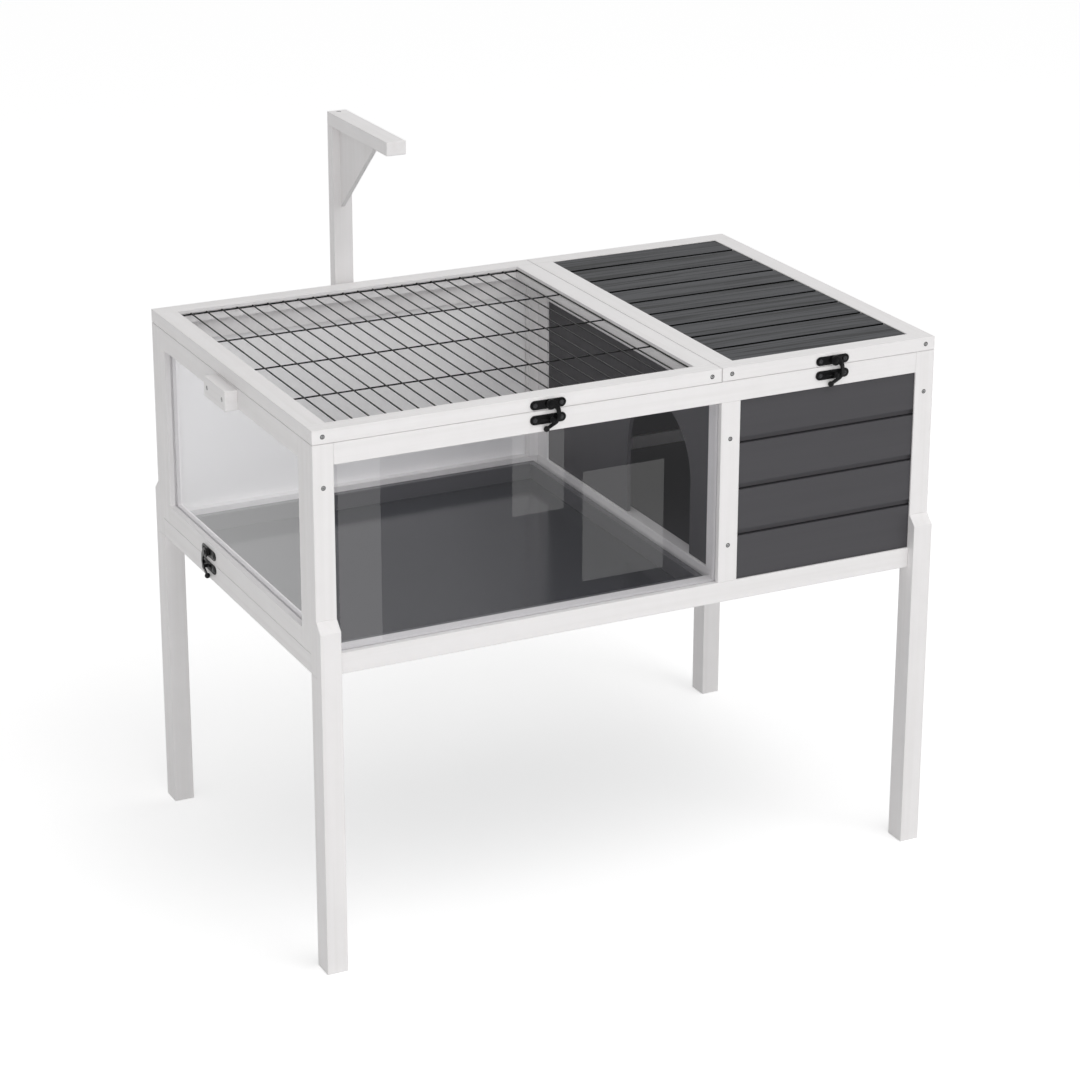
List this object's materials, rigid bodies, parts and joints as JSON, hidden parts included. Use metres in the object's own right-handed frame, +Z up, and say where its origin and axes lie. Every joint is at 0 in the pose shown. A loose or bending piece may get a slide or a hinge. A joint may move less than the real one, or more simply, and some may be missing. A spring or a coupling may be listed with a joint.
{
  "type": "tortoise house",
  "caption": "Raised wooden house for a tortoise on tall legs: glazed run with a hinged wire lid and slide-out tray, boarded shelter with hinged roof, and a lamp bracket.",
  "frame": {"origin": "middle of the base of the whole object's box, on the floor", "axes": "+X to the right seen from the front, from the run to the shelter; +Y from the front to the back; +Z up"},
  "size_m": [0.969, 0.659, 1.0345],
  "materials": {
    "white_wood": "white paint, satin",
    "white_sheet": "white paint on thin plywood, satin",
    "grey_board": "dark grey paint, satin",
    "roof_board": "dark grey stain, grain showing",
    "floor_board": "grey paint on plywood",
    "tray_sheet": "smooth dark grey sheet, half gloss",
    "tray_paint": "dark grey paint, half gloss",
    "acrylic": "clear acrylic",
    "black_wire": "black coating",
    "black_latch": "black powder coat, half gloss",
    "plated_steel": "zinc plate",
    "screw_steel": "dark zinc plate"
  },
  "bodies": {
    "house": {"leg_front_left": "white_wood", "leg_front_right": "white_wood", "leg_rear_left": "white_wood", "leg_rear_right": "white_wood", "front_left_stile": "white_wood", "front_middle_stile": "white_wood", "front_right_stile": "white_wood", "front_top_rail": "white_wood", "front_bottom_rail": "white_wood", "left_stiles": "white_wood", "left_rails": "white_wood", "carry_block": "white_wood", "right_stiles": "white_wood", "right_rails": "white_wood", "back_stiles": "white_wood", "back_top_rail": "white_wood", "back_bottom_rail": "white_wood", "divider_stiles": "white_wood", "divider_rails": "white_wood", "corner_batten": "white_wood", "tray_guides": "white_wood", "lamp_post": "white_wood", "lamp_arm": "white_wood", "lamp_gusset": "white_wood", "lamp_spacers": "white_wood", "back_sheet": "white_sheet", "front_boards": "grey_board", "right_boards": "grey_board", "back_boards": "grey_board", "divider_arch_panel": "grey_board", "shelter_floor": "floor_board", "front_window": "acrylic", "side_window": "acrylic", "tray_latch_plate": "black_latch", "lid_keepers": "black_latch", "hinge_body_leaves": "plated_steel", "hinge_pins": "plated_steel", "frame_screws": "screw_steel"},
    "mesh_lid": {"mesh_lid_front_rail": "white_wood", "mesh_lid_rear_rail": "white_wood", "mesh_lid_side_rails": "white_wood", "wire_mesh": "black_wire", "mesh_lid_hinge_leaves": "plated_steel", "mesh_latch_plate": "black_latch", "mesh_lid_screws": "screw_steel"},
    "solid_lid": {"solid_lid_front_rail": "white_wood", "solid_lid_rear_rail": "white_wood", "solid_lid_side_rails": "white_wood", "roof_boards": "roof_board", "solid_lid_hinge_leaves": "plated_steel", "solid_latch_plate": "black_latch", "solid_lid_screws": "screw_steel"},
    "mesh_hook": {"mesh_latch_hook": "black_latch"},
    "solid_hook": {"solid_latch_hook": "black_latch"},
    "tray_hook": {"tray_latch_hook": "black_latch"},
    "tray": {"tray_front": "white_wood", "tray_walls": "tray_paint", "tray_floor": "tray_sheet", "tray_keeper": "black_latch", "tray_screws": "screw_steel"}
  },
  "joints": [
    {"name": "mesh_lid_hinge", "type": "hinge", "parent": "house", "child": "mesh_lid", "pos_m": [-0.163, 0.2978, 0.75925], "axis": [-1, 0, 0], "range_deg": [0, 48]},
    {"name": "solid_lid_hinge", "type": "hinge", "parent": "house", "child": "solid_lid", "pos_m": [0.3125, 0.2978, 0.75925], "axis": [-1, 0, 0], "range_deg": [0, 100]},
    {"name": "mesh_hook_pivot", "type": "hinge", "parent": "mesh_lid", "child": "mesh_hook", "pos_m": [-0.124, -0.3155, 0.7675], "axis": [0, -1, 0], "range_deg": [0, 100]},
    {"name": "solid_hook_pivot", "type": "hinge", "parent": "solid_lid", "child": "solid_hook", "pos_m": [0.318, -0.3155, 0.7675], "axis": [0, -1, 0], "range_deg": [0, 100]},
    {"name": "tray_hook_pivot", "type": "hinge", "parent": "house", "child": "tray_hook", "pos_m": [-0.4655, 0.0865, 0.4743], "axis": [1, 0, 0], "range_deg": [0, 100]},
    {"name": "tray_slide", "type": "slide", "parent": "house", "child": "tray", "axis": [-1, 0, 0], "range_m": [0, 0.5]}
  ]
}
